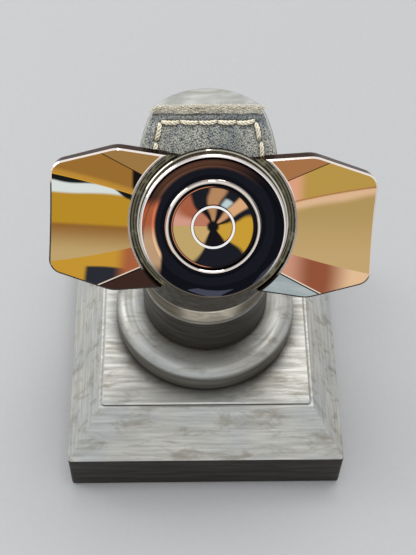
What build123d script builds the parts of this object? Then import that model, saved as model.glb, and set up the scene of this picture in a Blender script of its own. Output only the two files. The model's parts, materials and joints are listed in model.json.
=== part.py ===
"""A bow-tie hand spinner on its slanted display stand.

Millimetres, +Z up, +X to the right. The stand looks towards -Y. The origin is the centre of the
stand's underside. The spinner lies parallel to the slanted face, held there by a hidden magnet.
Its sizes are given in its own frame: u across the wings, v up the slope, w out along the normal,
with w = 0 halfway through its body.
"""

import os
from math import asin, atan2, cos, degrees, radians, sin, tan

from build123d import *

# Stand: plinth
base_side = 56.0
band_height = 10.9
frustum_height = 10.4
frustum_top_side = 42.6
plateau_side = 41.6
plateau_step = 0.6
corner_round = 0.6
arris = 0.3

# Stand: felt under the plinth
felt_thickness = 1.0
felt_proud = 0.3
felt_inset = 2.5
felt_corner = 3.0

# Stand: turned pieces
flange_radius = 18.1
flange_height = 6.7
flange_top_round = 2.6
flange_bottom_round = 1.6
column_radius = 12.45
column_height = 10.0
ring_radius = 12.3
ring_height = 3.8
joint_bevel = 0.35
head_height = 34.5
top_flat_setback = 8.15
face_tilt = 41.0
face_edge_bevel = 0.25

# Stand: the bolt that ties it together
bolt_radius = 2.5
bolt_length = 45.0
bolt_head_radius = 4.25
bolt_head_height = 5.0
bolt_socket_flats = 4.0
bolt_socket_depth = 2.5
bolt_seat_depth = 7.0
bolt_clearance = 0.25
washer_radius = 5.0
washer_thickness = 1.0
thread_fit = 0.02

# Stand: magnet and pad on the slanted face
magnet_radius = 5.0
magnet_thickness = 3.0
magnet_clearance = 0.05
pad_inset = 0.5
pad_top_inset = 0.3
backing_thickness = 0.6
backing_inset = 0.3
denim_thickness = 0.9
denim_edge_round = 0.35
stitch_length = 2.9
stitch_width = 0.8
stitch_proud = 0.25
stitch_pitch = 3.3
stitch_side_inset = 2.85
stitch_end_inset = 1.0
stitch_top_inset = 2.7
stitch_bottom_inset = 5.0

# Spinner: where it rests
spinner_aside = 0.6
spinner_drop = 6.5
spinner_turn = -2.7
rest_gap = 0.05

# Spinner: body
wing_half_thickness = 2.6
wing_reach = 27.6
wing_tip_half = 9.18
wing_shoulder = (16.7, 12.34)
wing_waist_half = 10.47
tip_round = 2.5
shoulder_round = 5.0
wing_root_radius = 14.1
groove_floor = 1.4
collar_radius = 12.9
collar_bevel = 0.2
hub_radius = 11.9
hub_half_thickness = 2.9
edge_bevel = 0.3
blank_start = 3.0
crease_lap = 2.0
facet_hub_end = (11.9, 7.9)
facet_shoulder_end = (18.7, 11.2)
facet_slope = 0.08
scoop_radius = 30.0
scoop_hub_height = 1.92
scoop_tip_height = 1.05

# Spinner: finger caps
cap_gap = 0.2
cap_height = 2.1
front_cap_radius = 12.35
rear_cap_radius = 11.6
cap_rim_width = 0.45
cap_bevel = 0.25
dish_depth = 1.1
dish_ring_radius = 7.75
dish_ring_width = 0.55
dish_ring_drop = 0.2
cap_floor = 0.5
inlay_radius = 7.1
inlay_moat = 0.3
inlay_fit = 0.02
inlay_edge_height = 1.15
inlay_cone_drop = 0.35
inlay_ring_radius = 3.5
inlay_ring_width = 0.4
inlay_ring_height = 1.15
inlay_centre_height = 0.5
inlay_skin = 0.15

# Spinner: bearing, 1/4 inch by 1/2 inch by 3/16 inch
bearing_bore = 3.175
bearing_radius = 6.35
bearing_half_width = 2.381
inner_race_radius = 4.0
outer_race_inner_radius = 5.5
ball_radius = 0.992
ball_count = 10
ball_clearance = 0.04
cage_inner_radius = 4.42
cage_outer_radius = 5.1
cage_low = -0.45
cage_high = 1.5
shield_thickness = 0.15
shield_setback = 0.1
shield_gap = 0.15
seat_fit = 0.01
seat_lip = 0.75
lock_ring_ledge = 0.65
lock_ring_fit = 0.03

# Spinner: axle
axle_fit = 0.01
axle_end_gap = 0.03
spacer_radius = 4.4
spacer_fit = 0.03
screw_radius = 1.5
screw_clearance = 0.1
screw_head_radius = 2.75
screw_head_height = 0.3
screw_length = 2.6
screw_slot_width = 0.5
screw_slot_depth = 0.15

# Heights on the stand
base_bottom = felt_proud
band_top = base_bottom + band_height
frustum_top = band_top + frustum_height
plateau_top = frustum_top + plateau_step
flange_top = plateau_top + flange_height
column_top = flange_top + column_height
ring_top = column_top + ring_height
head_top = ring_top + head_height
bolt_seat = base_bottom + bolt_seat_depth
bolt_shoulder = bolt_seat - washer_thickness
bolt_tip = bolt_shoulder + bolt_length
bolt_hole = bolt_radius + bolt_clearance

# The slanted face: its origin is where the stand's axis meets it
tilt = radians(face_tilt)
face_centre = head_top - top_flat_setback / tan(tilt)
face = Plane(origin=(0, 0, face_centre), x_dir=(1, 0, 0), z_dir=(0, -cos(tilt), sin(tilt)))
face_half_length = column_radius / sin(tilt)
face_top = top_flat_setback / sin(tilt)
denim_top = backing_thickness + denim_thickness

# The spinner's own frame, halfway through its body
cap_seat = hub_half_thickness + cap_gap
cap_rim = cap_seat + cap_height
mid_height = denim_top + stitch_proud + rest_gap + cap_rim
resting = Plane(face.from_local_coords((spinner_aside, -spinner_drop, mid_height)), face.x_dir, face.z_dir)
turn = radians(spinner_turn)
spinner = Plane(resting.origin, resting.x_dir * cos(turn) + resting.y_dir * sin(turn), resting.z_dir)
spinner_axis = Axis(spinner.origin, spinner.z_dir)
radial = Plane(spinner.origin, spinner.x_dir, -spinner.y_dir)
across_v = Plane(spinner.origin, spinner.x_dir, spinner.y_dir)
across_u = Plane(spinner.origin, spinner.y_dir, spinner.x_dir)
seat_lip_radius = bearing_radius - seat_lip
lock_ring_radius = bearing_radius + lock_ring_ledge
ball_pitch = (inner_race_radius + outer_race_inner_radius) / 2
track_radius = ball_radius + ball_clearance

os.makedirs("parts", exist_ok=True)


def save(piece, name):
    """Names a finished piece and writes it."""
    piece.part.label = name
    export_step(piece.part, f"parts/{name}.step")


def outline(plane, *points):
    """A flat closed shape through straight-sided points on a plane."""
    with BuildSketch(plane) as shape:
        with BuildLine():
            Polyline(*points, close=True)
        make_face()
    return shape.sketch


def box_outline(r_in, r_out, low, high, bevel=0.0):
    """Points of a ring's rectangular section, its outer corners bevelled."""
    points = [(r_in, low), (r_out - bevel, low), (r_out, low + bevel)]
    points += [(r_out, high - bevel), (r_out - bevel, high), (r_in, high)]
    return points if bevel else [(r_in, low), (r_out, low), (r_out, high), (r_in, high)]


# ---------------------------------------------------------------- stand

with BuildPart() as base_plinth:
    with BuildSketch(Plane.XY.offset(base_bottom)):
        Rectangle(base_side, base_side)
    extrude(amount=band_height)
    with BuildSketch(Plane.XY.offset(band_top)):
        Rectangle(base_side, base_side)
    with BuildSketch(Plane.XY.offset(frustum_top)):
        Rectangle(frustum_top_side, frustum_top_side)
    loft()
    fillet(base_plinth.edges().filter_by(Axis.Z), corner_round)
    with BuildSketch(Plane.XY.offset(frustum_top)):
        RectangleRounded(plateau_side, plateau_side, corner_round)
    extrude(amount=plateau_step)
    chamfer(base_plinth.faces().sort_by(Axis.Z)[-1].edges(), arris)
    chamfer(base_plinth.faces().sort_by(Axis.Z)[0].edges(), arris)
    with BuildSketch(Plane.XY.offset(base_bottom)):
        RectangleRounded(base_side - 2 * felt_inset, base_side - 2 * felt_inset, felt_corner)
    extrude(amount=felt_thickness - felt_proud, mode=Mode.SUBTRACT)
    with BuildSketch(Plane.XY.offset(base_bottom)):
        Circle(washer_radius + bolt_clearance)
    extrude(amount=bolt_seat_depth, mode=Mode.SUBTRACT)
    with BuildSketch(Plane.XY.offset(base_bottom)):
        Circle(bolt_hole)
    extrude(amount=plateau_top, mode=Mode.SUBTRACT)
save(base_plinth, "base_plinth")

with BuildPart() as base_felt:
    with BuildSketch():
        RectangleRounded(base_side - 2 * felt_inset, base_side - 2 * felt_inset, felt_corner)
    extrude(amount=felt_thickness)
save(base_felt, "base_felt")

with BuildPart() as foot_flange:
    with BuildSketch(Plane.XY.offset(plateau_top)):
        Circle(flange_radius)
        Circle(bolt_hole, mode=Mode.SUBTRACT)
    extrude(amount=flange_height)
    outer_edges = foot_flange.edges().filter_by(GeomType.CIRCLE).sort_by(SortBy.RADIUS)[-2:]
    fillet(outer_edges.sort_by(Axis.Z)[-1], flange_top_round)
    outer_edges = foot_flange.edges().filter_by(GeomType.CIRCLE).sort_by(SortBy.RADIUS)[-2:]
    fillet(outer_edges.sort_by(Axis.Z)[0], flange_bottom_round)
save(foot_flange, "foot_flange")

with BuildPart() as lower_column:
    revolve(
        outline(Plane.XZ, *box_outline(bolt_hole, column_radius, flange_top, column_top, joint_bevel)),
        axis=Axis.Z,
    )
save(lower_column, "lower_column")

with BuildPart() as trim_ring:
    revolve(
        outline(Plane.XZ, *box_outline(bolt_hole, ring_radius, column_top, ring_top, joint_bevel)),
        axis=Axis.Z,
    )
save(trim_ring, "trim_ring")

with BuildPart() as slanted_head:
    with BuildSketch(Plane.XY.offset(ring_top)):
        Circle(column_radius)
    extrude(amount=head_height)
    chamfer(slanted_head.faces().sort_by(Axis.Z)[0].edges(), joint_bevel)
    split(bisect_by=face, keep=Keep.BOTTOM)
    upper_edges = slanted_head.faces().sort_by(Axis.Z)[-1].edges()
    face_edges = slanted_head.faces().sort_by(lambda f: (f.center() - face.origin).dot(face.z_dir))[-1].edges()
    chamfer(ShapeList(set(upper_edges + face_edges)), face_edge_bevel)
    with BuildSketch(face):
        with Locations((0, -spinner_drop)):
            Circle(magnet_radius + magnet_clearance)
    extrude(amount=-(magnet_thickness + magnet_clearance), mode=Mode.SUBTRACT)
    with BuildSketch(Plane.XY.offset(ring_top)):
        Circle(bolt_radius + thread_fit)
    extrude(amount=bolt_tip - ring_top + bolt_radius, mode=Mode.SUBTRACT)
save(slanted_head, "slanted_head")

with BuildPart() as column_bolt:
    with BuildSketch(Plane.XY.offset(bolt_shoulder)):
        Circle(bolt_head_radius)
    extrude(amount=-bolt_head_height)
    chamfer(column_bolt.faces().sort_by(Axis.Z)[0].edges(), arris)
    with BuildSketch(Plane.XY.offset(bolt_shoulder - bolt_head_height)):
        RegularPolygon(bolt_socket_flats / 2, 6, major_radius=False)
    extrude(amount=bolt_socket_depth, mode=Mode.SUBTRACT)
    with BuildSketch(Plane.XY.offset(bolt_shoulder)):
        Circle(bolt_radius)
    extrude(amount=bolt_length)
    chamfer(column_bolt.faces().sort_by(Axis.Z)[-1].edges(), arris)
save(column_bolt, "column_bolt")

with BuildPart() as bolt_washer:
    with BuildSketch(Plane.XY.offset(bolt_shoulder)):
        Circle(washer_radius)
        Circle(bolt_hole, mode=Mode.SUBTRACT)
    extrude(amount=washer_thickness)
save(bolt_washer, "bolt_washer")

with BuildPart() as holding_magnet:
    with BuildSketch(face.offset(-magnet_clearance)):
        with Locations((0, -spinner_drop)):
            Circle(magnet_radius)
    extrude(amount=-magnet_thickness)
    chamfer(holding_magnet.edges(), arris)
save(holding_magnet, "holding_magnet")


def pad_outline(height, inset):
    """The pad's shape on the slanted face: the cut end of the column, less a margin."""
    top = face_top - pad_top_inset - inset
    with BuildSketch(face.offset(height)) as shape:
        Ellipse(column_radius - pad_inset - inset, face_half_length - pad_inset - inset)
        with Locations((0, top + face_half_length)):
            Rectangle(2 * face_half_length, 2 * face_half_length, mode=Mode.SUBTRACT)
    return shape.sketch


with BuildPart() as pad_backing:
    extrude(pad_outline(0, backing_inset), amount=backing_thickness)
save(pad_backing, "pad_backing")

with BuildPart() as denim_pad:
    extrude(pad_outline(backing_thickness, 0), amount=denim_thickness)
    fillet(denim_pad.faces().sort_by(Axis.Z).sort_by(
        lambda f: (f.center() - face.origin).dot(face.z_dir))[-1].edges(), denim_edge_round)
save(denim_pad, "denim_pad")


def stitch_places():
    """Where each stitch lies: a row along the top, a row near the bottom and a line down each side."""
    half_width = column_radius - stitch_side_inset
    half_length = face_half_length - stitch_end_inset
    top = face_top - stitch_top_inset
    bottom = stitch_bottom_inset - face_half_length
    places = []
    for level in (top, bottom):
        row = 2 * half_width * cos(asin(level / half_length))
        count = round(row / stitch_pitch)
        for i in range(count):
            places.append((((i + 0.5 - count / 2) * row / count, level), 0))
    first, last = degrees(asin(bottom / half_length)), degrees(asin(top / half_length))
    for start, end in ((first, last), (180 - last, 180 - first)):
        side = EllipticalCenterArc((0, 0), half_width, half_length, start, arc_size=end - start)
        count = round(side.length / stitch_pitch)
        for i in range(count):
            at = (i + 0.5) / count
            heading = side % at
            places.append((side @ at, degrees(atan2(heading.Y, heading.X))))
    return places


stitches = stitch_places()

with BuildPart() as pad_stitching:
    with BuildSketch(face.offset(denim_top)):
        for place, heading in stitches:
            with Locations(place):
                SlotOverall(stitch_length, stitch_width, rotation=heading)
    extrude(amount=stitch_proud)
save(pad_stitching, "pad_stitching")

# ---------------------------------------------------------------- spinner: winged body


def wing_outline():
    """The flat bow tie seen along the spinner's axis."""
    quarter = [wing_shoulder, (wing_reach, wing_tip_half)]
    right = [(0, wing_waist_half)] + quarter + [(u, -v) for u, v in reversed(quarter)]
    left = [(-u, -v) for u, v in right]
    with BuildSketch(spinner) as shape:
        with BuildLine():
            Polyline(*right, *left, close=True)
        make_face()
        tips = shape.vertices().filter_by(lambda p: abs(p.X) > wing_reach - arris)
        fillet(tips, tip_round)
        shoulders = shape.vertices().filter_by(lambda p: abs(abs(p.X) - wing_shoulder[0]) < arris)
        fillet(shoulders, shoulder_round)
    return shape.sketch


def crease_plane():
    """The gently falling plane on the outer side of the upper crease of the right wing."""
    start = spinner.from_local_coords((*facet_hub_end, wing_half_thickness))
    end = spinner.from_local_coords((*facet_shoulder_end, wing_half_thickness))
    along = (end - start).normalized()
    fall = along.cross(spinner.z_dir) - spinner.z_dir * facet_slope
    return Plane(start, x_dir=along, z_dir=along.cross(fall) * -1)


def scoop_plane():
    """The section of the right wing's hollow: a plane across it at the wing's root."""
    start = spinner.from_local_coords((wing_root_radius, 0, scoop_hub_height))
    end = spinner.from_local_coords((wing_reach, 0, scoop_tip_height))
    return Plane(start, x_dir=spinner.y_dir, z_dir=end - start)


facet = crease_plane()
scoop = scoop_plane()
cut_reach = wing_reach + tip_round


def wing_blank(height, low_v):
    """The right wing above mid-thickness, outside the groove round the hub and beyond low_v."""
    with BuildPart() as blank:
        extrude(wing_outline(), amount=height)
        with BuildSketch(spinner.offset(groove_floor)):
            Circle(wing_root_radius)
        extrude(amount=height, mode=Mode.SUBTRACT)
        with BuildSketch(spinner):
            with Locations((blank_start, low_v)):
                Rectangle(cut_reach, 2 * cut_reach, align=(Align.MIN, Align.MIN))
        extrude(amount=height, mode=Mode.INTERSECT)
    return blank.part


def real_edges(face, low_v):
    """The edges of a blank's face, apart from those where the blank was cut off."""
    return face.edges().filter_by(
        lambda edge: spinner.to_local_coords(edge @ 0.5).Y > low_v + arris
        and spinner.to_local_coords(edge @ 0.5).X > blank_start + arris
    )


with BuildPart() as flat_block:
    add(wing_blank(wing_half_thickness, -cut_reach))
    flat_top = flat_block.faces().sort_by(Axis(spinner.origin, spinner.z_dir))[-1]
    chamfer(real_edges(flat_top, -cut_reach), edge_bevel)

with BuildPart() as crease_block:
    add(wing_blank(cut_reach, -crease_lap))
    split(bisect_by=facet, keep=Keep.BOTTOM)
    crease_top = crease_block.faces().sort_by(Axis(facet.origin, facet.z_dir))[-1]
    chamfer(real_edges(crease_top, -crease_lap), edge_bevel)

with BuildPart() as hollow_block:
    add(wing_blank(cut_reach, -cut_reach))
    with BuildSketch(scoop.offset(-tip_round)):
        with Locations((0, scoop_radius)):
            Circle(scoop_radius)
    extrude(amount=cut_reach, mode=Mode.SUBTRACT)
    curved = hollow_block.faces().filter_by(GeomType.CYLINDER).sort_by(SortBy.AREA)[-2:]
    bowl = curved.sort_by(Axis(spinner.origin, spinner.z_dir))[0]
    chamfer(
        bowl.edges().filter_by(lambda edge: spinner.to_local_coords(edge @ 0.5).Z < wing_half_thickness),
        edge_bevel,
    )

with BuildPart() as wing_quarter:
    add(flat_block.part)
    add(hollow_block.part, mode=Mode.INTERSECT)
    add(crease_block.part, mode=Mode.INTERSECT)
    split(bisect_by=across_v, keep=Keep.TOP)

with BuildPart() as hub_web:
    extrude(wing_outline(), amount=groove_floor, both=True)
    with BuildSketch(spinner):
        Circle(wing_root_radius)
    extrude(amount=groove_floor, both=True, mode=Mode.INTERSECT)

with BuildPart() as winged_body:
    add(wing_quarter.part)
    mirror(about=across_v)
    mirror(about=across_u)
    mirror(about=spinner)
    add(hub_web.part)
    revolve(outline(
        radial,
        (seat_lip_radius, -hub_half_thickness),
        (hub_radius, -hub_half_thickness),
        (hub_radius, groove_floor),
        (collar_radius, groove_floor),
        (collar_radius, hub_half_thickness - collar_bevel),
        (collar_radius - collar_bevel, hub_half_thickness),
        (seat_lip_radius, hub_half_thickness),
    ), axis=spinner_axis)
    revolve(outline(
        radial,
        (0, -cap_rim),
        (seat_lip_radius, -cap_rim),
        (seat_lip_radius, -bearing_half_width),
        (bearing_radius + seat_fit, -bearing_half_width),
        (bearing_radius + seat_fit, bearing_half_width),
        (lock_ring_radius + lock_ring_fit, bearing_half_width),
        (lock_ring_radius + lock_ring_fit, cap_rim),
        (0, cap_rim),
    ), axis=spinner_axis, mode=Mode.SUBTRACT)
save(winged_body, "winged_body")

# ---------------------------------------------------------------- spinner: bearing


def ball_track():
    """The section of the groove that the balls run in."""
    with BuildSketch(radial) as shape:
        with Locations((ball_pitch, 0)):
            Circle(track_radius)
    return shape.sketch


with BuildPart() as bearing_outer_race:
    revolve(outline(
        radial, *box_outline(outer_race_inner_radius, bearing_radius, -bearing_half_width, bearing_half_width)
    ), axis=spinner_axis)
    revolve(ball_track(), axis=spinner_axis, mode=Mode.SUBTRACT)
save(bearing_outer_race, "bearing_outer_race")

with BuildPart() as bearing_inner_race:
    revolve(outline(
        radial, *box_outline(bearing_bore, inner_race_radius, -bearing_half_width, bearing_half_width)
    ), axis=spinner_axis)
    revolve(ball_track(), axis=spinner_axis, mode=Mode.SUBTRACT)
save(bearing_inner_race, "bearing_inner_race")

with BuildPart(spinner) as bearing_balls:
    with PolarLocations(ball_pitch, ball_count):
        Sphere(ball_radius)
save(bearing_balls, "bearing_balls")

with BuildPart(spinner) as ball_cage:
    revolve(outline(
        radial, *box_outline(cage_inner_radius, cage_outer_radius, cage_low, cage_high)
    ), axis=spinner_axis)
    with PolarLocations(ball_pitch, ball_count):
        Sphere(track_radius, mode=Mode.SUBTRACT)
save(ball_cage, "ball_cage")

with BuildPart() as bearing_shields:
    shield_top = bearing_half_width - shield_setback
    shield_bottom = shield_top - shield_thickness
    for low, high in ((shield_bottom, shield_top), (-shield_top, -shield_bottom)):
        revolve(outline(
            radial, *box_outline(inner_race_radius + shield_gap, outer_race_inner_radius, low, high)
        ), axis=spinner_axis)
save(bearing_shields, "bearing_shields")

with BuildPart() as bearing_lock_ring:
    revolve(outline(
        radial, *box_outline(seat_lip_radius, lock_ring_radius, bearing_half_width, hub_half_thickness)
    ), axis=spinner_axis)
save(bearing_lock_ring, "bearing_lock_ring")

# ---------------------------------------------------------------- spinner: caps and axle


def cap_section(radius, side):
    """Half of a finger cap's section. side is 1 for the front cap and -1 for the rear one."""
    ring_outer = dish_ring_radius + dish_ring_width / 2
    ring_inner = dish_ring_radius - dish_ring_width / 2
    ring_top = cap_rim - dish_ring_drop
    floor = cap_seat + cap_floor
    moat_outer = inlay_radius + inlay_moat
    dish_outer = radius - cap_rim_width
    with BuildSketch(radial) as shape:
        with BuildLine():
            Polyline(
                (dish_outer, side * cap_rim),
                (radius - cap_bevel, side * cap_rim),
                (radius, side * (cap_rim - cap_bevel)),
                (radius, side * (cap_seat + cap_bevel)),
                (radius - cap_bevel, side * cap_seat),
                (screw_radius + screw_clearance, side * cap_seat),
                (screw_radius + screw_clearance, side * floor),
                (inlay_radius + inlay_fit, side * floor),
                (inlay_radius + inlay_fit, side * (floor + inlay_edge_height / 2)),
                (moat_outer, side * (floor + inlay_edge_height / 2)),
                (moat_outer, side * (ring_top - dish_ring_width / 4)),
                (ring_inner + dish_ring_width / 4, side * ring_top),
                (ring_outer - dish_ring_width / 4, side * ring_top),
                (ring_outer, side * (ring_top - dish_ring_width / 4)),
                (ring_outer, side * (ring_top - dish_ring_width)),
            )
            ThreePointArc(
                (ring_outer, side * (ring_top - dish_ring_width)),
                ((ring_outer + dish_outer) / 2, side * (cap_rim - dish_depth)),
                (dish_outer, side * cap_rim),
            )
        make_face()
    return shape.sketch


def inlay_section(side):
    """Half of an inlay's section: a shallow cone, a raised ring and a hollow centre."""
    floor = cap_seat + cap_floor
    edge = floor + inlay_edge_height
    cone_end = inlay_ring_radius + inlay_ring_width / 2
    dimple = inlay_ring_radius - inlay_ring_width / 2
    centre = floor + inlay_centre_height
    room = screw_head_radius + screw_clearance
    lip = dimple - inlay_ring_width / 4
    depth = edge - inlay_cone_drop - centre
    bowl = (lip**2 + depth**2) / (2 * depth)
    halfway = centre + bowl - (bowl**2 - (lip / 2) ** 2) ** 0.5
    with BuildSketch(radial) as shape:
        with BuildLine():
            Polyline(
                (0, side * centre),
                (0, side * (centre - inlay_skin)),
                (room, side * (centre - inlay_skin)),
                (room, side * floor),
                (inlay_radius, side * floor),
                (inlay_radius, side * edge),
                (cone_end + inlay_ring_width / 4, side * (edge - inlay_cone_drop)),
                (cone_end, side * (floor + inlay_ring_height)),
                (dimple, side * (floor + inlay_ring_height)),
                (lip, side * (edge - inlay_cone_drop)),
            )
            ThreePointArc(
                (lip, side * (edge - inlay_cone_drop)), (lip / 2, side * halfway), (0, side * centre)
            )
        make_face()
    return shape.sketch


with BuildPart() as front_cap:
    revolve(cap_section(front_cap_radius, 1), axis=spinner_axis)
save(front_cap, "front_cap")

with BuildPart() as rear_cap:
    revolve(cap_section(rear_cap_radius, -1), axis=spinner_axis)
save(rear_cap, "rear_cap")

with BuildPart() as front_inlay:
    revolve(inlay_section(1), axis=spinner_axis)
save(front_inlay, "front_inlay")

with BuildPart() as rear_inlay:
    revolve(inlay_section(-1), axis=spinner_axis)
save(rear_inlay, "rear_inlay")

spacer_bore = bearing_bore + spacer_fit

with BuildPart() as front_spacer:
    revolve(outline(
        radial, *box_outline(spacer_bore, spacer_radius, bearing_half_width, cap_seat)
    ), axis=spinner_axis)
save(front_spacer, "front_spacer")

with BuildPart() as rear_spacer:
    revolve(outline(
        radial, *box_outline(spacer_bore, spacer_radius, -cap_seat, -bearing_half_width)
    ), axis=spinner_axis)
save(rear_spacer, "rear_spacer")

with BuildPart() as axle_sleeve:
    revolve(outline(
        radial,
        *box_outline(
            screw_radius + thread_fit, bearing_bore - axle_fit, axle_end_gap - cap_seat, cap_seat - axle_end_gap
        ),
    ), axis=spinner_axis)
save(axle_sleeve, "axle_sleeve")

with BuildPart() as cap_screws:
    for side in (1, -1):
        shoulder = spinner.offset(side * (cap_seat + cap_floor))
        with BuildSketch(shoulder):
            Circle(screw_head_radius)
        extrude(amount=side * screw_head_height)
        with BuildSketch(shoulder):
            Circle(screw_radius)
        extrude(amount=-side * screw_length)
        with BuildSketch(shoulder.offset(side * (screw_head_height - screw_slot_depth))):
            Rectangle(2 * screw_head_radius, screw_slot_width)
        extrude(amount=side * screw_head_height, mode=Mode.SUBTRACT)
save(cap_screws, "cap_screws")
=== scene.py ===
"""Looks for the bow-tie hand spinner on its slanted display stand. Metres, +Z up, front towards -Y."""

import json
from math import cos, pi, radians, sin

import bpy
from mathutils import Matrix, Vector, noise


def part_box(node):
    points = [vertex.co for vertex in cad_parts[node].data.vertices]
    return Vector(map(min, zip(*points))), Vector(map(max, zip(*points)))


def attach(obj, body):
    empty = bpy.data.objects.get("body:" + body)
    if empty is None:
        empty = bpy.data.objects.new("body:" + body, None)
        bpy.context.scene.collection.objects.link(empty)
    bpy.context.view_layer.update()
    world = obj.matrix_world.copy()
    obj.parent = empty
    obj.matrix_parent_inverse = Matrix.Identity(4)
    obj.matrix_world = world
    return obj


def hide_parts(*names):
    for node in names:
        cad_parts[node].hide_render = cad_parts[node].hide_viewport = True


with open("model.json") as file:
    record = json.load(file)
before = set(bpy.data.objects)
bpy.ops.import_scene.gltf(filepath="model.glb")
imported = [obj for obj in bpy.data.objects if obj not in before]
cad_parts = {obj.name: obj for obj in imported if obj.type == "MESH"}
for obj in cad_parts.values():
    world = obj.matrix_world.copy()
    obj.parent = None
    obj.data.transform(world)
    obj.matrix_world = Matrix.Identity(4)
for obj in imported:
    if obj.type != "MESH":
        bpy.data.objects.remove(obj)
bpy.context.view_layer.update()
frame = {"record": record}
MM = 0.001

# ---------------------------------------------------------------- places, from the frame

joints = {joint["name"]: joint for joint in frame["record"]["behaviour"]["joints"]}
hub_centre = Vector(joints["wing_spin"]["pos_m"])
hub_normal = Vector(joints["wing_spin"]["axis"])
across = Vector((1, 0, 0))
up_slope = hub_normal.cross(across)
to_slope = Matrix((across, up_slope, hub_normal))
from_slope = to_slope.transposed()
slope_frame = from_slope.to_euler()

spinner_turn = radians(-2.7)
wing_line = across * cos(spinner_turn) + up_slope * sin(spinner_turn)
spinner_frame = Matrix((wing_line, hub_normal.cross(wing_line), hub_normal)).transposed().to_euler()


def deselect():
    """Leaves nothing selected and nothing active."""
    bpy.ops.object.select_all(action="DESELECT")
    bpy.context.view_layer.objects.active = None


def activate(piece):
    """Leaves only this piece selected, and active."""
    deselect()
    piece.select_set(True)
    bpy.context.view_layer.objects.active = piece


def copy_of_node(node, name):
    """A merged copy of a CAD node's mesh, as a new piece."""
    piece = bpy.data.objects.new(name, bpy.data.objects[node].data.copy())
    bpy.context.collection.objects.link(piece)
    piece.data.materials.clear()
    activate(piece)
    bpy.ops.object.mode_set(mode="EDIT")
    bpy.ops.mesh.select_all(action="SELECT")
    bpy.ops.mesh.remove_doubles(threshold=MM / 1000)
    bpy.ops.object.mode_set(mode="OBJECT")
    return piece


# ---------------------------------------------------------------- material building blocks


def srgb(red, green, blue):
    """A colour written as 0 to 255, as the shader takes it."""
    def linear(value):
        value /= 255
        return value / 12.92 if value <= 0.04045 else ((value + 0.055) / 1.055) ** 2.4
    return (linear(red), linear(green), linear(blue))


def darker(tone, share):
    """The tone with this share of its light."""
    return tuple(share * channel for channel in tone)


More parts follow.
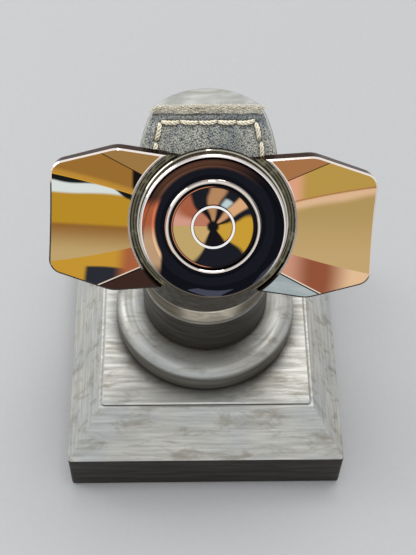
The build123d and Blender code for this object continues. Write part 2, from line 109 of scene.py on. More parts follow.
class Finish:
    """A material, with short ways to add its nodes."""

    def __init__(self, name, metallic=0.0, roughness=0.5):
        self.material = bpy.data.materials.new(name)
        self.material.use_nodes = True
        self.nodes = self.material.node_tree.nodes
        self.links = self.material.node_tree.links
        self.shader = self.nodes["Principled BSDF"]
        self.set("Metallic", metallic)
        self.set("Roughness", roughness)
        self.place = self.nodes.new("ShaderNodeTexCoord").outputs["Object"]

    def feed(self, socket, value):
        """Links an output to the socket, or sets the socket to a plain value."""
        if isinstance(value, bpy.types.NodeSocket):
            self.links.new(value, socket)
        else:
            socket.default_value = value

    def set(self, socket, value):
        self.feed(self.shader.inputs[socket], value)

    def add(self, kind, **inputs):
        """A node of this kind, with its inputs fed."""
        node = self.nodes.new("ShaderNode" + kind)
        for socket, value in inputs.items():
            self.feed(node.inputs[socket], value)
        return node

    def framed(self, centre, turn):
        """Object coordinates in millimetres from a centre, along the axes of a turned frame."""
        node = self.add("Mapping", Location=centre, Rotation=turn, Scale=(MM, MM, MM))
        node.vector_type = "TEXTURE"
        self.feed(node.inputs["Vector"], self.place)
        return node.outputs["Vector"]

    def parts(self, source):
        node = self.add("SeparateXYZ", Vector=source)
        return node.outputs["X"], node.outputs["Y"], node.outputs["Z"]

    def face_normal(self):
        return self.nodes.new("ShaderNodeNewGeometry").outputs["True Normal"]

    # sums

    def math(self, operation, first, second=0.0):
        node = self.nodes.new("ShaderNodeMath")
        node.operation = operation
        self.feed(node.inputs[0], first)
        self.feed(node.inputs[1], second)
        return node.outputs[0]

    def plus(self, first, second):
        return self.math("ADD", first, second)

    def minus(self, first, second):
        return self.math("SUBTRACT", first, second)

    def times(self, first, second):
        return self.math("MULTIPLY", first, second)

    def size_of(self, value):
        """The value without its sign."""
        return self.math("ABSOLUTE", value)

    def length(self, first, second):
        """The length of the line whose two sides these are."""
        return self.math("SQRT", self.plus(self.times(first, first), self.times(second, second)))

    def towards(self, normal, direction):
        """The cosine of the angle between a normal and a direction."""
        node = self.nodes.new("ShaderNodeVectorMath")
        node.operation = "DOT_PRODUCT"
        self.feed(node.inputs[0], normal)
        self.feed(node.inputs[1], direction)
        return node.outputs["Value"]

    # masks

    def ramp(self, value, low, high, start=0.0, end=1.0):
        """Runs smoothly from start to end while the value goes from low to high."""
        node = self.nodes.new("ShaderNodeMapRange")
        node.interpolation_type = "SMOOTHSTEP"
        for socket, number in (("Value", value), ("From Min", low), ("From Max", high),
                               ("To Min", start), ("To Max", end)):
            self.feed(node.inputs[socket], number)
        return node.outputs["Result"]

    def past(self, value, line, soft):
        """0 before the line and 1 past it."""
        return self.ramp(value, line - soft, line + soft)

    def before(self, value, low, high):
        """1 before low and 0 past high."""
        return self.ramp(value, low, high, 1.0, 0.0)

    def band(self, value, low, high, soft):
        """1 between low and high, and 0 outside, with soft edges."""
        return self.times(self.past(value, low, soft), self.before(value, high - soft, high + soft))

    def both(self, first, second):
        """1 where both masks are 1."""
        return self.times(first, second)

    def worn_edges(self, radius):
        """1 along convex and concave edges, 0 on open faces."""
        bevel = self.add("Bevel", Radius=radius)
        bevel.samples = 6
        normal = self.nodes.new("ShaderNodeNewGeometry").outputs["Normal"]
        return self.ramp(self.minus(1.0, self.towards(bevel.outputs["Normal"], normal)), 0.03, 0.3)

    def openness(self, distance):
        """1 in the open, and less where something stands within this distance."""
        node = self.add("AmbientOcclusion", Distance=distance)
        node.samples = 6
        return node.outputs["AO"]

    # patterns

    def noise(self, source, scale, detail=4.0, rough=0.55, distortion=0.0):
        """Cloudy noise. Three scales, one for each axis, stretch it."""
        if isinstance(scale, tuple):
            source, scale = self.add("Mapping", Vector=source, Scale=scale).outputs["Vector"], 1.0
        node = self.add("TexNoise", Vector=source, Scale=scale, Detail=detail, Roughness=rough,
                        Distortion=distortion)
        return node.outputs["Fac"]

    def mix(self, share, first, second):
        """Colour first, going to second as share goes to 1."""
        node = self.nodes.new("ShaderNodeMix")
        node.data_type = "RGBA"
        self.feed(node.inputs["Factor"], share)
        for name, value in (("A", first), ("B", second)):
            target = [socket for socket in node.inputs if socket.name == name and socket.type == "RGBA"][0]
            self.feed(target, (*value, 1) if isinstance(value, tuple) else value)
        return [socket for socket in node.outputs if socket.type == "RGBA"][0]

    def bump(self, height, strength, distance, under=None):
        node = self.add("Bump", Height=height, Strength=strength, Distance=distance)
        if under is not None:
            self.feed(node.inputs["Normal"], under)
        return node.outputs["Normal"]

    def wear(self, node_name):
        """Gives this finish to a CAD node."""
        for slot in bpy.data.objects[node_name].material_slots:
            slot.material = self.material


# ---------------------------------------------------------------- stand: aged turned and milled metal


def straight_brushing(finish):
    """Long brush marks that run along each face of a square block."""
    long_way, short_way = 90.0, 1300.0
    along_x = finish.noise(finish.place, (long_way, short_way, short_way), 6.0, 0.62, 0.15)
    along_y = finish.noise(finish.place, (short_way, long_way, short_way), 6.0, 0.62, 0.15)
    nx, ny, _ = finish.parts(finish.face_normal())
    side = finish.ramp(finish.minus(finish.size_of(nx), finish.size_of(ny)), 0.02, 0.12)
    return finish.plus(finish.times(along_x, finish.minus(1.0, side)), finish.times(along_y, side))


def lathe_marks(finish):
    """Fine rings left by turning about the stand's upright axis."""
    fineness, unevenness = 1500.0, 1.6
    x, y, z = finish.parts(finish.place)
    radius = finish.length(x, y)
    round_about = finish.add("CombineXYZ",
                             X=finish.times(finish.math("DIVIDE", x, radius), unevenness),
                             Y=finish.times(finish.math("DIVIDE", y, radius), unevenness),
                             Z=finish.times(radius, fineness))
    rings = finish.nodes.new("ShaderNodeTexNoise")
    rings.noise_dimensions = "4D"
    for socket, value in (("Vector", round_about.outputs["Vector"]), ("W", finish.times(z, fineness)),
                          ("Scale", 1.0), ("Detail", 5.0)):
        finish.feed(rings.inputs[socket], value)
    return rings.outputs["Fac"]


def patches(finish):
    """Broad, soft clouds of dullness."""
    return finish.noise(finish.place, 70.0, 4.0, 0.6, 0.6)


def smears(finish):
    """Small stains, drawn out along the metal."""
    return finish.noise(finish.place, (140.0, 420.0, 300.0), 5.0, 0.65, 0.5)


def front_highlight(finish, colour):
    """A painted highlight on the front of an upright ring, uneven with its stains."""
    x, y, _ = finish.parts(finish.place)
    front = finish.both(finish.band(x, -4.5 * MM, 5.5 * MM, 2.5 * MM), finish.before(y, -9.0 * MM, -8.0 * MM))
    highlight_share = finish.both(front, finish.ramp(smears(finish), 0.35, 0.6, 0.45, 0.95))
    return finish.mix(highlight_share, colour, srgb(232, 222, 204))


def grey_top_and_face_highlight(finish, colour):
    """Grey patches on a level top, and a painted highlight round the slanted face."""
    normal = finish.face_normal()
    level = finish.ramp(finish.parts(normal)[2], 0.9, 0.97)
    grey = finish.both(level, finish.ramp(patches(finish), 0.4, 0.62, 0.75, 0.0))
    colour = finish.mix(grey, colour, srgb(142, 144, 142))
    # painted highlight: faces turned along the hub's axis go near white
    slanted = finish.ramp(finish.towards(normal, hub_normal), 0.9, 0.97)
    return finish.mix(slanted, colour, srgb(236, 236, 230))


def aged_metal(name, tone, upright_shade_tone, brushing, last_tone_and_highlight=None):
    """Bare metal, brushed by hand, with dull patches and stains, painted shade on its upright faces and in
    its corners, and bright along its edges.
    """
    finish = Finish(name, metallic=0.8)
    marks = brushing(finish)
    brushed = finish.ramp(marks, 0.3, 0.7)
    dull, stained = patches(finish), smears(finish)

    colour = finish.mix(brushed, darker(tone, 0.72), tone)
    colour = finish.mix(finish.ramp(dull, 0.42, 0.66, 0.0, 0.35), colour, srgb(186, 196, 202))
    colour = finish.mix(finish.ramp(stained, 0.48, 0.68, 0.0, 0.55), colour, srgb(140, 130, 110))
    colour = finish.mix(finish.ramp(marks, 0.6, 0.78, 0.0, 0.5), colour, srgb(232, 236, 238))

    # painted shade: upright faces take a darker tone than the level tops
    nz = finish.parts(finish.face_normal())[2]
    upright = finish.before(finish.size_of(nz), 0.12, 0.55)
    colour = finish.mix(upright, colour, finish.mix(brushed, darker(upright_shade_tone, 0.6), upright_shade_tone))
    bright = finish.both(finish.worn_edges(0.3 * MM), finish.ramp(stained, 0.3, 0.6, 0.35, 0.9))
    colour = finish.mix(bright, colour, srgb(222, 222, 214))
    # painted shade: dark brown where the metal is least open, in corners and creases
    shade_openness = finish.plus(finish.openness(4.5 * MM), finish.times(dull, 0.25))
    colour = finish.mix(finish.ramp(shade_openness, 0.55, 1.0, 0.85, 0.0), colour, srgb(58, 50, 40))
    # the last layer adds painted highlights to some parts
    if last_tone_and_highlight:
        colour = last_tone_and_highlight(finish, colour)

    finish.set("Base Color", colour)
    finish.set("Roughness", finish.ramp(marks, 0.3, 0.7, 0.58, 0.42))
    coarse = finish.bump(stained, 0.2, 0.08 * MM)
    finish.set("Normal", finish.bump(marks, 0.3, 0.04 * MM, coarse))
    return finish


# ---------------------------------------------------------------- spinner: mirror polish
# Places on the spinner are in millimetres from its axis: u along the wings, v across them, up the slope.


def round_radius(node):
    """The radius of a CAD node that is round about the hub's axis, in millimetres."""
    low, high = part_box(node)
    return (high[0] - low[0]) / 2 / MM


inlay_radius = round_radius("front_inlay")
dish_edge = round_radius("front_cap") - 0.45
dish_ring_inside, dish_ring_outside = 7.48, 8.07
inlay_ring_inside, inlay_ring_outside = 3.28, 3.70
wing_reach = 27.6
wing_root_radius = 14.1
collar_radius = 12.9
crease_hub_end = Vector((11.9, 7.9))
crease_shoulder_end = Vector((18.7, 11.2))
hollow_root_height = 4.75
hollow_slope = 0.27
hollow_bend = -0.0038
crisp = 0.05


def mirror_polish(name, roughness):
    finish = Finish(name, metallic=1.0, roughness=roughness)
    finish.set("Specular Tint", (0.3, 0.24, 0.22, 1))
    return finish


class WingPlaces:
    """Where each point of the winged body lies among its facets. Loose values waver a little."""

    def __init__(self, finish):
        self.place = finish.framed(hub_centre, spinner_frame)
        self.u, self.v, _ = finish.parts(self.place)
        self.reach, self.height = finish.size_of(self.u), finish.size_of(self.v)
        self.radius = finish.length(self.u, self.v)
        ripple = finish.times(finish.minus(finish.noise(self.place, 0.15, 0.0), 0.5), 1.1)
        self.loose_v = finish.plus(self.v, ripple)
        self.loose_reach = finish.plus(self.reach, ripple)
        self.upper = finish.past(self.v, 0.0, crisp)
        self.facing = finish.size_of(finish.towards(finish.face_normal(), hub_normal))

        # the crease runs straight from the hub to the shoulder
        crease = crease_shoulder_end - crease_hub_end
        along_crease = finish.minus(self.reach, crease_hub_end.x)
        crease_height = finish.plus(finish.times(along_crease, crease.y / crease.x), crease_hub_end.y)
        self.over_crease = finish.minus(self.height, crease_height)

        # the rim of the hollow bends down a little on its way from the hub to the tip
        along_rim = finish.minus(self.reach, wing_root_radius)
        bend = finish.times(finish.times(along_rim, along_rim), hollow_bend)
        rim_height = finish.plus(finish.times(along_rim, hollow_slope), finish.plus(bend, hollow_root_height))
        self.over_rim = finish.minus(self.height, rim_height)
        self.over_upper_rim = finish.minus(self.v, rim_height)
        self.loose_over_upper_rim = finish.minus(self.loose_v, rim_height)

    def facets(self, finish, hollow, facet, flat):
        """The hollow's tone, with the facet's beyond its rim and the flat's beyond the crease."""
        tone = finish.mix(finish.past(self.over_rim, 0.0, crisp), hollow, facet)
        return finish.mix(finish.past(self.over_crease, 0.0, crisp), tone, flat)


def left_wing_reflections(finish, at):
    """Painted reflections on the left wing: tan under ochre in the hollow, with a pale strip and a dark one
    below its upper rim, and a painted highlight along that rim.
    """
    hollow = finish.mix(finish.ramp(at.v, -6.5, -0.6), srgb(196, 166, 112), srgb(146, 98, 42))
    hollow = finish.mix(finish.ramp(at.v, -1.5, -0.7), hollow, srgb(188, 142, 42))
    hollow = finish.mix(finish.ramp(at.loose_v, 4.0, 4.6), hollow, srgb(222, 228, 222))
    dark_width = finish.plus(finish.ramp(at.reach, 19.5, 26.0, 0.15, 1.2),
                             finish.ramp(at.reach, 14.5, 17.5, 0.8, 0.0))
    under_rim = finish.ramp(finish.plus(at.loose_over_upper_rim, dark_width), -0.25, 0.2)
    hollow = finish.mix(under_rim, hollow, srgb(24, 26, 24))
    # painted highlight along the hollow's upper rim
    rim_highlight = finish.before(finish.size_of(at.over_upper_rim), 0.1, 0.2)
    hollow = finish.mix(rim_highlight, hollow, srgb(215, 160, 60))

    # painted reflections on the upper and lower facets and on the flat
    upper = finish.mix(finish.ramp(at.loose_reach, 13.5, 14.1), srgb(26, 20, 20), srgb(158, 112, 50))
    upper = finish.mix(finish.ramp(at.over_rim, 0.35, 1.3, 0.7, 0.0), upper, srgb(206, 152, 58))
    low_dark_reflection = finish.both(finish.ramp(finish.minus(0.0, at.loose_v), 8.1, 8.6),
                            finish.before(at.loose_reach, 20.6, 21.6))
    lower = finish.mix(low_dark_reflection, srgb(202, 152, 52), srgb(44, 46, 52))
    lower = finish.mix(finish.before(at.loose_reach, 14.0, 16.6), lower, srgb(172, 98, 62))
    flat = finish.mix(at.upper, srgb(62, 42, 36), srgb(160, 122, 70))
    return at.facets(finish, hollow, finish.mix(at.upper, lower, upper), flat)


def right_wing_reflections(finish, at):
    """Painted reflections on the right wing: tan in the hollow with a peach strip below its upper rim, and a
    cool lower flat.
    """
    hollow = finish.mix(finish.ramp(at.v, -6.0, 4.0), srgb(200, 168, 116), srgb(182, 152, 94))
    hollow = finish.mix(finish.ramp(at.loose_over_upper_rim, -2.3, -0.9), hollow, srgb(226, 186, 146))
    hollow = finish.mix(finish.ramp(at.over_upper_rim, -0.5, -0.1), hollow, srgb(176, 122, 72))

    upper = finish.mix(finish.ramp(at.loose_reach, 13.6, 16.0), srgb(226, 164, 130), srgb(188, 152, 74))
    lower = finish.mix(finish.ramp(at.loose_reach, 13.0, 17.5), srgb(208, 150, 124), srgb(150, 86, 60))
    lower = finish.mix(finish.ramp(at.loose_reach, 19.5, 24.5), lower, srgb(232, 192, 150))
    # painted reflection in cool streaks on the lower flat
    reflection_streaks = finish.noise(at.place, (0.12, 0.5, 0.1), 3.0)
    cool = finish.mix(reflection_streaks, srgb(96, 116, 126), srgb(206, 212, 208))
    flat = finish.mix(at.upper, cool, srgb(170, 116, 74))
    return at.facets(finish, hollow, finish.mix(at.upper, lower, upper), flat)


def crease_shade_and_highlights(finish, at, colour):
    """A painted shade line along the upper creases, and a painted highlight and a painted shadow line along
    the lower creases.
    """
    dark = finish.both(finish.band(at.over_crease, -0.14, 0.02, 0.03), at.upper)
    colour = finish.mix(dark, colour, srgb(30, 22, 18))
    lower = finish.minus(1.0, at.upper)
    bright = finish.both(finish.band(at.over_crease, -0.16, 0.06, 0.03), lower)
    colour = finish.mix(bright, colour, srgb(236, 218, 198))
    shadow = finish.both(finish.band(at.over_crease, 0.06, 0.3, 0.04), lower)
    return finish.mix(shadow, colour, srgb(24, 20, 18))


def wing_edge_highlights_and_shade(finish, at, bevel, colour):
    """A painted highlight round the hub, painted highlights on the bevels above and painted shade on them
    below, and painted shade on the sides.
    """
    root_highlight = finish.both(finish.band(at.radius, wing_root_radius - 0.1, wing_root_radius + 0.45, 0.04),
                       finish.ramp(at.v, 3.5, 7.5))
    colour = finish.mix(root_highlight, colour, srgb(246, 236, 224))
    left_tip = finish.both(finish.before(at.u, 0.2 - wing_reach, 0.6 - wing_reach),
                           finish.before(at.v, 5.5, 6.5))
    # painted shade on the lower bevels and at the left tip, painted highlight on the rest
    shaded = finish.math("MAXIMUM", finish.before(at.v, -8.6, -7.6), left_tip)
    colour = finish.mix(bevel, colour, finish.mix(shaded, srgb(248, 236, 228), srgb(58, 52, 46)))
    # painted shade on the wing's sides
    return finish.mix(finish.before(at.facing, 0.2, 0.3), colour, srgb(70, 48, 42))


def hub_groove_shade(finish, at, shaded_groove, colour):
    """Painted shade in the turned groove round the hub, mottled in rings, and a painted highlight on its
    collar's rim.
    """
    mottle = finish.noise(at.place, 0.7, 3.0)
    line_of_rings = finish.add("CombineXYZ", X=finish.times(at.radius, 4.2)).outputs["Vector"]
    rings = finish.noise(line_of_rings, 1.0, 2.0)
    groove = finish.mix(finish.ramp(rings, 0.35, 0.65), srgb(36, 34, 26), srgb(104, 100, 82))
    groove = finish.mix(finish.ramp(mottle, 0.5, 0.7, 0.0, 0.6), groove, srgb(132, 128, 106))
    colour = finish.mix(shaded_groove, colour, groove)
    # painted highlight on the collar's rim
    collar = finish.band(at.radius, collar_radius - 0.35, collar_radius - 0.1, 0.03)
    return finish.mix(collar, colour, srgb(206, 202, 186))


def wing_mirror():
    """Mirror-polished facets, each painted with the warm tones it reflects: painted reflections, with painted
    highlights and shade on its creases, edges and groove.
    """
    finish = mirror_polish("Wing mirror", roughness=0.06)
    at = WingPlaces(finish)
    bevel = finish.band(at.facing, 0.35, 0.94, 0.01)
    shaded_groove = finish.before(at.radius, wing_root_radius - 0.05, wing_root_radius + 0.02)
    # painted reflections on both wings
    colour = finish.mix(finish.past(at.u, 0.0, 0.1), left_wing_reflections(finish, at), right_wing_reflections(finish, at))
    colour = crease_shade_and_highlights(finish, at, colour)
    colour = wing_edge_highlights_and_shade(finish, at, bevel, colour)
    finish.set("Base Color", hub_groove_shade(finish, at, shaded_groove, colour))
    lit_edge = finish.both(bevel, finish.minus(1.0, shaded_groove))
    finish.set("Metallic", finish.minus(1.0, finish.times(lit_edge, 0.55)))
    return finish


def cap_mirror():
    """Polished finger cap: painted highlights on its rim and ring, the rim painted in shade below, painted
    shade in the moat, and a dish painted with the dark and warm tones it reflects.
    """
    finish = mirror_polish("Cap mirror", roughness=0.05)
    u, v, _ = finish.parts(finish.framed(hub_centre, spinner_frame))
    radius = finish.length(u, v)
    angle = finish.math("ARCTAN2", v, u)

    # painted reflections: a warm one at the top of the dish and a peach crescent on its left
    warm_reflection = finish.both(finish.band(angle, 1.2, 2.9, 0.5), finish.band(radius, 10.1, 11.4, 0.35))
    dish_reflection = finish.mix(warm_reflection, srgb(26, 27, 34), srgb(110, 74, 58))
    crescent = finish.both(finish.ramp(u, -8.2, -8.8), finish.band(v, -7.5, 3.6, 1.2))
    crescent = finish.both(crescent, finish.ramp(radius, 9.6, 10.1))
    peach = finish.mix(finish.ramp(v, -3.0, 0.5), srgb(240, 195, 150), srgb(215, 120, 80))
    dish_reflection = finish.mix(crescent, dish_reflection, peach)

    # painted highlight on the rim above and painted shade on it below, and a painted highlight on the ring
    lit_and_shaded_rim_tone = finish.mix(finish.ramp(v, -9.5, -3.0), srgb(96, 90, 80), srgb(240, 232, 226))
    ring_highlight_tone = srgb(226, 216, 206)
    halfway_out = finish.ramp(radius, 9.0, 9.1)
    colour = finish.mix(finish.band(radius, dish_ring_outside, dish_edge, 0.04),
                        finish.mix(halfway_out, ring_highlight_tone, lit_and_shaded_rim_tone), dish_reflection)
    # painted shade in the moat round the inlay
    moat_shade = finish.band(radius, inlay_radius - crisp, dish_ring_inside, 0.03)
    finish.set("Base Color", finish.mix(moat_shade, colour, srgb(24, 22, 22)))
    finish.set("Roughness", finish.ramp(radius, dish_edge - crisp, dish_edge + crisp, 0.05, 0.22))
    return finish


def painted_sectors(finish, angle, ground, sectors, soft):
    """The ground tone, with a soft-edged sector over it for each start, end and tone."""
    for start, end, tone in sectors:
        ground = finish.mix(finish.band(angle, start, end, soft), ground, tone)
    return ground


def inlay_mirror():
    """The polished cone in the middle of a cap, in soft-edged sectors of painted reflections, with a painted
    glint and a painted highlight on its ring.
    """
    finish = mirror_polish("Inlay mirror", roughness=0.05)
    place = finish.framed(hub_centre, spinner_frame)
    u, v, _ = finish.parts(place)
    radius = finish.length(u, v)
    ripple = finish.minus(finish.noise(place, 0.23, 0.0), 0.5)
    angle = finish.plus(finish.math("ARCTAN2", v, u), finish.times(ripple, 0.45))
    loose_v = finish.plus(v, finish.times(ripple, 1.6))

    colour = painted_sectors(finish, angle, srgb(30, 31, 38), (
        (-0.68, 0.22, srgb(206, 160, 54)),
        (0.46, 0.94, srgb(222, 172, 126)),
        (1.36, 1.80, srgb(186, 138, 98)),
        (2.24, 3.3, srgb(170, 96, 68)),
        (-3.3, -2.0, srgb(196, 168, 108)),
    ), 0.07)
    # painted reflection: a pink patch on the left
    pink_reflection = finish.both(finish.band(angle, 2.75, 3.3, 0.18), finish.ramp(loose_v, -0.6, 0.2))
    colour = finish.mix(pink_reflection, colour, srgb(216, 158, 136))
    glint = finish.both(finish.band(angle, 0.98, 1.26, 0.08), finish.band(radius, 3.8, 5.3, 0.3))
    colour = finish.mix(glint, colour, srgb(196, 212, 214))
    # painted shade round the inlay's outer edge, and a painted copper reflection on its lip
    margin_shade = finish.ramp(radius, inlay_radius - 0.5, inlay_radius - 0.3)
    colour = finish.mix(margin_shade, colour, srgb(26, 24, 28))
    lip_reflection = finish.both(finish.band(radius, inlay_radius - 0.26, inlay_radius - 0.14, 0.04),
                      finish.before(u, -1.5, 0.5))
    colour = finish.mix(lip_reflection, colour, srgb(214, 140, 104))

    # the bowl inside the inlay's ring, with painted reflections and a dark painted reflection in its middle
    dark_bowl_reflection = srgb(24, 22, 26)
    bowl_reflection = painted_sectors(finish, angle, dark_bowl_reflection, (
        (-0.85, 0.35, srgb(206, 160, 60)),
        (0.62, 0.98, srgb(208, 154, 112)),
        (1.4, 1.85, srgb(186, 138, 98)),
        (2.2, 3.3, srgb(192, 124, 98)),
        (-3.3, -2.15, srgb(206, 172, 112)),
    ), 0.12)
    bowl_reflection = finish.mix(finish.before(radius, 0.7, 1.3), bowl_reflection, dark_bowl_reflection)
    colour = finish.mix(finish.before(radius, 3.1, 3.25), colour, bowl_reflection)
    # painted highlight on the inlay's ring
    ring = finish.band(radius, inlay_ring_inside, inlay_ring_outside, 0.04)
    finish.set("Base Color", finish.mix(ring, colour, srgb(248, 246, 244)))
    return finish


# ---------------------------------------------------------------- cloth, thread, felt, leather, plain metal


def denim():
    """Washed denim: diagonal twill of blue and cream threads, raw along its top, with a painted shadow under
    the raw edge and painted shade in its folds.
    """
    finish = Finish("Washed denim", roughness=0.9)
    finish.set("Sheen Weight", 0.3)
    finish.set("Sheen Roughness", 0.5)
    finish.set("Specular IOR Level", 0.15)
    warp_pitch, weft_pitch, twill_lean = 0.46, 0.38, 0.5
    pad_top = Vector(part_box("denim_pad")[1])
    top_edge = (Vector((0, pad_top.y, pad_top.z)) - hub_centre).dot(up_slope) / MM - 0.5

    place = finish.framed(hub_centre, slope_frame)
    u, v, _ = finish.parts(place)
    across_twill = finish.plus(u, finish.times(v, twill_lean))
    along_twill = finish.minus(v, finish.times(u, twill_lean))
    warp = finish.math("SINE", finish.times(across_twill, 2 * pi / warp_pitch))
    weft = finish.math("SINE", finish.times(along_twill, 2 * pi / weft_pitch))
    weave = finish.times(warp, weft)
    speck = finish.noise(place, 3.9, 3.0, 0.75)
    slub = finish.noise(place, (0.9, 2.3, 1.5), 3.0, 0.6)
    fade = finish.noise(place, 0.21, 3.0, 0.6)
    threads = finish.plus(finish.times(weave, 0.07), speck)
    colour = finish.mix(finish.ramp(threads, 0.38, 0.60), srgb(38, 62, 86), srgb(226, 224, 208))
    colour = finish.mix(finish.ramp(slub, 0.52, 0.72, 0.0, 0.5), colour, srgb(206, 204, 186))
    colour = finish.mix(finish.ramp(fade, 0.36, 0.6, 0.35, 0.0), colour, srgb(52, 76, 96))

    # above the last row of stitches the cloth is darker, then dark with a painted shadow under the raw edge,
    # then raw and cream
    upper_strip = finish.ramp(v, top_edge - 3.0, top_edge - 2.3, 0.0, 0.4)
    colour = finish.mix(upper_strip, colour, srgb(58, 72, 90))
    wander = finish.times(finish.minus(finish.noise(place, 0.42, 2.0), 0.5), 0.9)
    raw_v = finish.plus(v, wander)
    shadow_under_raw = finish.both(finish.band(raw_v, top_edge - 1.1, top_edge - 0.75, 0.14),
                            finish.ramp(fade, 0.38, 0.6, 0.25, 0.85))
    colour = finish.mix(shadow_under_raw, colour, srgb(64, 60, 58))
    raw_cotton = finish.mix(finish.ramp(speck, 0.4, 0.6), srgb(150, 144, 126), srgb(214, 208, 188))
    colour = finish.mix(finish.ramp(raw_v, top_edge - 0.8, top_edge - 0.6, 0.0, 0.85), colour, raw_cotton)

    # painted shade in the folds and round the stitches
    fold_shade = finish.ramp(finish.openness(0.7 * MM), 0.35, 0.8, 0.95, 0.0)
    finish.set("Base Color", finish.mix(fold_shade, colour, srgb(20, 24, 32)))
    ridges = finish.bump(weave, 0.5, 0.06 * MM)
    finish.set("Normal", finish.bump(speck, 0.6, 0.12 * MM, ridges))
    return finish


def thread(name, light, dark):
    """Cotton thread: fine fibres, stains and painted shade in the grooves between its plies."""
    finish = Finish(name, roughness=0.6)
    finish.set("Specular IOR Level", 0.3)
    finish.set("Sheen Weight", 0.2)
    fibres = finish.noise(finish.place, 3200.0, 3.0, 0.6)
    stain = finish.noise(finish.place, 420.0, 2.0)
    colour = finish.mix(finish.ramp(fibres, 0.35, 0.65), dark, light)
    colour = finish.mix(finish.ramp(stain, 0.55, 0.75, 0.0, 0.4), colour, srgb(176, 150, 108))
    # painted shade in the grooves between the plies
    shaded_groove = finish.ramp(finish.openness(0.22 * MM), 0.3, 0.75, 0.85, 0.0)
    finish.set("Base Color", finish.mix(shaded_groove, colour, srgb(128, 108, 74)))
    finish.set("Normal", finish.bump(fibres, 0.4, 0.04 * MM))
    return finish


def pressed_felt():
    finish = Finish("Pressed felt", roughness=0.95)
    finish.set("Sheen Weight", 0.5)
    wool = finish.noise(finish.place, 1800.0, 4.0, 0.7, 0.8)
    finish.set("Base Color", finish.mix(finish.ramp(wool, 0.35, 0.65), srgb(22, 22, 24), srgb(54, 54, 56)))
    finish.set("Normal", finish.bump(wool, 0.7, 0.15 * MM))
    return finish


def backing_leather():
    finish = Finish("Backing leather", roughness=0.75)
    grain = finish.noise(finish.place, 1300.0, 4.0, 0.65)
    colour = finish.mix(finish.ramp(grain, 0.35, 0.65), srgb(128, 124, 114), srgb(176, 174, 162))
    finish.set("Base Color", colour)
    finish.set("Normal", finish.bump(grain, 0.5, 0.08 * MM))
    return finish


def plain_metal(name, tone, roughness, fineness):
    """Machined metal with fine marks."""
    finish = Finish(name, metallic=1.0)
    marks = finish.noise(finish.place, fineness, 4.0, 0.6)
    finish.set("Base Color", finish.mix(finish.ramp(marks, 0.3, 0.7), darker(tone, 0.75), tone))
    finish.set("Roughness", finish.ramp(marks, 0.3, 0.7, roughness + 0.1, roughness))
    return finish


# ---------------------------------------------------------------- finishes on the CAD nodes

finishes = (
    (aged_metal("Brushed plinth metal", srgb(222, 220, 212), srgb(62, 58, 54), straight_brushing),
     ("base_plinth",)),
    (aged_metal("Turned foot metal", srgb(212, 210, 202), srgb(120, 116, 108), lathe_marks),
     ("foot_flange",)),
    (aged_metal("Dark turned metal", srgb(150, 146, 136), srgb(76, 72, 66), lathe_marks),
     ("lower_column",)),
    (aged_metal("Dull bronze trim", srgb(168, 158, 140), srgb(128, 118, 102), lathe_marks, front_highlight),
     ("trim_ring",)),
    (aged_metal("Worn head metal", srgb(202, 200, 192), srgb(92, 88, 80), straight_brushing, grey_top_and_face_highlight),
     ("slanted_head",)),
    (plain_metal("Fastener steel", srgb(150, 150, 152), 0.3, 900.0),
     ("column_bolt", "bolt_washer", "axle_sleeve", "cap_screws", "front_spacer", "rear_spacer")),
    (plain_metal("Nickel plate", srgb(206, 202, 192), 0.18, 700.0),
     ("holding_magnet",)),
    (plain_metal("Ground bearing steel", srgb(196, 198, 202), 0.14, 1500.0),
     ("bearing_outer_race", "bearing_inner_race", "bearing_balls", "bearing_shields", "bearing_lock_ring")),
    (plain_metal("Cage brass", srgb(202, 164, 90), 0.25, 1200.0),
     ("ball_cage",)),
    (pressed_felt(), ("base_felt",)),
    (backing_leather(), ("pad_backing",)),
    (wing_mirror(), ("winged_body",)),
    (cap_mirror(), ("front_cap", "rear_cap")),
    (inlay_mirror(), ("front_inlay", "rear_inlay")),
)
for finish, nodes in finishes:
    for node in nodes:
        finish.wear(node)
denim_cloth = denim()
waxed_thread = thread("Waxed thread", srgb(255, 250, 232), srgb(232, 220, 188))
raw_fibre = thread("Raw cotton fibre", srgb(246, 242, 224), srgb(214, 204, 178))

# ---------------------------------------------------------------- denim patch and its stitches

half_stitch = 1.6 * MM


def on_slope(point):
    """A point's place across the slope, up it and out from it, measured from the hub."""
    return to_slope @ (point - hub_centre)


def off_slope(across_slope, up_the_slope, out):
    """The point at this place on the slope, measured from the hub."""
    return hub_centre + from_slope @ Vector((across_slope, up_the_slope, out))


def stitch_places():
    """The middle and the heading of each stitch, from the plain CAD stitches."""
    copy_of_node("pad_stitching", "stitch_guide")
    bpy.ops.object.mode_set(mode="EDIT")
    bpy.ops.mesh.select_all(action="SELECT")
    bpy.ops.mesh.separate(type="LOOSE")
    bpy.ops.object.mode_set(mode="OBJECT")
    places = []
    for guide in list(bpy.context.selected_objects):
        points = [on_slope(vertex.co) for vertex in guide.data.vertices]
        middle = sum(points, Vector()) / len(points)
        middle.z = max(point.z for point in points)
        far = max(points, key=lambda point: (point.xy - middle.xy).length)
        heading = (far.xy - middle.xy).normalized()
        if heading.x < -0.5 or (abs(heading.x) <= 0.5 and heading.y < 0):
            heading = -heading
        places.append((middle, heading))
        bpy.data.objects.remove(guide)
    return sorted(places, key=lambda place: (round(place[0].x, 5), round(place[0].y, 5)))


def pull_of_stitches(point, places):
    """How hard the nearest stitch pulls the cloth down here, from 0 to 1, and hardest at its ends."""
    furrow_width, end_length = 0.9 * MM, 0.7 * MM
    pull = 0.0
    for middle, heading in places:
        gap = point.xy - middle.xy
        if gap.length < 2 * half_stitch:
            along, aside = abs(gap.dot(heading)), abs(gap.cross(heading))
            at_end = max(0.0, 1 - abs(along - half_stitch) / end_length)
            pull = max(pull, max(0.0, 1 - aside / furrow_width) * (0.5 + 0.5 * at_end))
    return pull


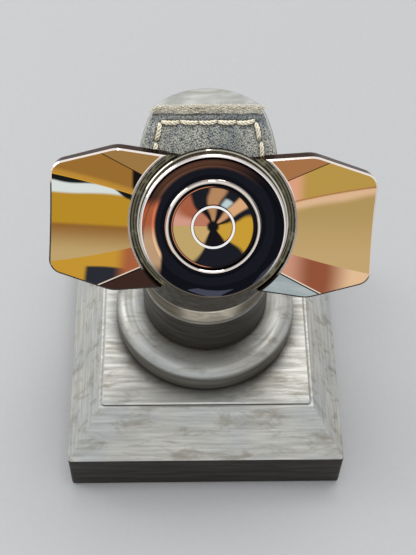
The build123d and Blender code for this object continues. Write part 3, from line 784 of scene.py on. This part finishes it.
def denim_patch(places):
    """The cloth over the slanted face: puckered at its stitches, with a soft, uneven edge."""
    pucker_depth, unevenness, fray_reach = 0.38 * MM, 0.09 * MM, 0.07 * MM
    patch = copy_of_node("denim_pad", "denim_patch")
    remesh = patch.modifiers.new("Remesh", "REMESH")
    remesh.mode = "VOXEL"
    remesh.voxel_size = 0.24 * MM
    activate(patch)
    bpy.ops.object.modifier_apply(modifier="Remesh")
    points = [on_slope(vertex.co) for vertex in patch.data.vertices]
    top = max(point.z for point in points)
    low = min(point.z for point in points)
    for vertex, point in zip(patch.data.vertices, points):
        rise = (point.z - low) / (top - low)
        ripple = noise.noise(vertex.co * 320) * 0.5 + noise.noise(vertex.co * 900) * 0.3
        sink = pucker_depth * pull_of_stitches(point, places) + unevenness * (0.8 + ripple)
        fray = Vector((noise.noise(vertex.co * 2100), noise.noise(vertex.co * 2100 + Vector((7, 3, 1))), 0))
        point -= Vector((0, 0, sink * rise))
        point += fray * fray_reach
        vertex.co = off_slope(*point)
    bpy.ops.object.shade_smooth()
    patch.data.materials.append(denim_cloth.material)
    return patch


def curve_piece(name, depth, sides, strands):
    """Round strands through the given points, as one mesh piece."""
    curve = bpy.data.curves.new(name, "CURVE")
    curve.dimensions = "3D"
    curve.bevel_depth = depth
    curve.bevel_resolution = sides
    curve.use_fill_caps = True
    for points, radii in strands:
        spline = curve.splines.new("POLY")
        spline.points.add(len(points) - 1)
        for knot, point, radius in zip(spline.points, points, radii):
            knot.co = (*point, 1)
            knot.radius = radius
    piece = bpy.data.objects.new(name, curve)
    bpy.context.collection.objects.link(piece)
    activate(piece)
    bpy.ops.object.convert(target="MESH")
    bpy.ops.object.shade_smooth()
    return bpy.context.active_object


def thread_stitches(places):
    """Each stitch is a flattened thread of three twisted plies that goes down into the cloth at both ends."""
    half_width, half_height, ply_radius, dip = 0.24 * MM, 0.13 * MM, 0.19 * MM, 0.62 * MM
    plies, steps = 3, 32
    strands = []
    for number, (middle, heading) in enumerate(places):
        wobble = noise.noise(Vector((number * 3.7, 1.3, 0)))
        swell = 1 + 0.12 * noise.noise(Vector((number * 2.1, 5.5, 0)))
        lay = Matrix.Rotation(0.22 * wobble, 2) @ heading
        aside = Vector((-lay.y, lay.x))
        for ply in range(plies):
            points, radii = [], []
            for step in range(steps + 1):
                share = 2 * step / steps - 1
                twist = 2 * pi * ply / plies + 1.5 * pi * share + number
                fat = 1 - 0.55 * share ** 6
                sag = (share ** 2 - 0.4) * (0.16 + 0.14 * wobble) * MM + 0.12 * MM * share * wobble
                offset = half_width * fat * cos(twist) + sag
                out = middle.z - dip * share ** 4 + half_height * fat * sin(twist)
                flat = middle.xy + lay * (share * half_stitch) + aside * offset
                points.append(off_slope(flat.x, flat.y, out))
                radii.append(fat * swell)
            strands.append((points, radii))
    stitches = curve_piece("thread_stitches", ply_radius, 2, strands)
    stitches.data.materials.append(waxed_thread.material)
    return stitches


def edge_fuzz(patch):
    """Loose cotton fibres in tufts along the patch's raw upper edge."""
    fibre_count, fibre_steps, golden_share = 900, 4, 0.61803
    points = [on_slope(vertex.co) for vertex in patch.data.vertices]
    top = max(point.z for point in points)
    rim_v = max(point.y for point in points)
    rim = [point for point in points if point.y > rim_v - 0.5 * MM]
    first, last = min(point.x for point in rim), max(point.x for point in rim)

    def chance(number, salt):
        """A number near 0.5 that is the same each time for this fibre and this salt."""
        return noise.noise(Vector((number * 1.37, salt * 7.1, 2.2))) + 0.5

    strands = []
    for number in range(fibre_count):
        root_u = first + (last - first) * ((number * golden_share) % 1.0)
        tuft = 0.5 + noise.noise(Vector((root_u / MM * 0.55, 0.3, 0)))
        root_v = rim_v - 0.75 * MM + 0.9 * MM * chance(number, 5)
        length = (0.6 + 1.3 * chance(number, 1)) * MM
        heading = 2 * pi * chance(number, 2)
        curl = 1.4 * (chance(number, 3) - 0.5)
        arch = (0.35 + 0.25 * tuft) * MM * chance(number, 4)
        points, radii = [], []
        for step in range(fibre_steps + 1):
            share = step / fibre_steps
            bend = heading + curl * share
            points.append(off_slope(
                root_u + cos(bend) * length * share,
                root_v + 0.4 * MM * tuft * share + 0.3 * sin(bend) * length * share,
                top - 0.42 * MM + arch * sin(pi * (0.15 + 0.7 * share)),
            ))
            radii.append(1.0 - 0.5 * share)
        strands.append((points, radii))
    fuzz = curve_piece("raw_edge_fuzz", 0.07 * MM, 0, strands)
    fuzz.data.materials.append(raw_fibre.material)
    return fuzz


places_of_stitches = stitch_places()
patch = denim_patch(places_of_stitches)
stitches = thread_stitches(places_of_stitches)
fuzz = edge_fuzz(patch)
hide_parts("denim_pad")
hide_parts("pad_stitching")
for piece in (patch, stitches, fuzz):
    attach(piece, "stand")

# ---------------------------------------------------------------- studio


def studio():
    """A plain pale floor and soft lights."""
    world = bpy.data.worlds.new("Studio air")
    world.use_nodes = True
    background = world.node_tree.nodes["Background"]
    background.inputs["Color"].default_value = (0.92, 0.94, 0.97, 1)
    background.inputs["Strength"].default_value = 0.62
    bpy.context.scene.world = world
    bpy.context.scene.view_settings.view_transform = "Standard"

    deselect()
    bpy.ops.mesh.primitive_plane_add(size=4.0)
    floor = bpy.context.active_object
    floor.name = "studio_floor"
    paper = Finish("Floor paper", roughness=0.85)
    tooth = paper.noise(paper.place, 900.0, 3.0)
    paper.set("Base Color", paper.mix(tooth, (0.50, 0.50, 0.50), (0.54, 0.54, 0.54)))
    floor.data.materials.append(paper.material)

    for name, place, size, power in (
        ("overhead_softbox", (0.05, 0.10, 0.62), 0.35, 1.9),
        ("front_softbox", (0.0, -0.62, 0.40), 0.7, 0.55),
        ("left_softbox", (-0.5, 0.15, 0.38), 0.3, 0.9),
    ):
        lamp = bpy.data.lights.new(name, "AREA")
        lamp.size = size
        lamp.energy = power
        light = bpy.data.objects.new(name, lamp)
        light.location = place
        light.rotation_euler = (hub_centre - Vector(place)).to_track_quat("-Z", "Y").to_euler()
        bpy.context.collection.objects.link(light)


def camera():
    """Looks down on the front of the stand, a little from the left."""
    look_left, look_down, roll = radians(-2.23), radians(56.13), radians(1.51)
    eye_place = Vector((-4.48, -127.21, 225.71)) * MM
    view = bpy.data.cameras.new("camera")
    view.sensor_fit = "VERTICAL"
    view.sensor_height = 36.0
    view.sensor_width = 36.0
    view.lens = 74.67
    view.clip_start = 0.01
    eye = bpy.data.objects.new("camera", view)
    turn = Matrix.Rotation(look_left, 4, "Z") @ Matrix.Rotation(radians(90) - look_down, 4, "X")
    eye.matrix_world = Matrix.Translation(eye_place) @ turn @ Matrix.Rotation(roll, 4, "Z")
    bpy.context.collection.objects.link(eye)
    bpy.context.scene.camera = eye


studio()
camera()
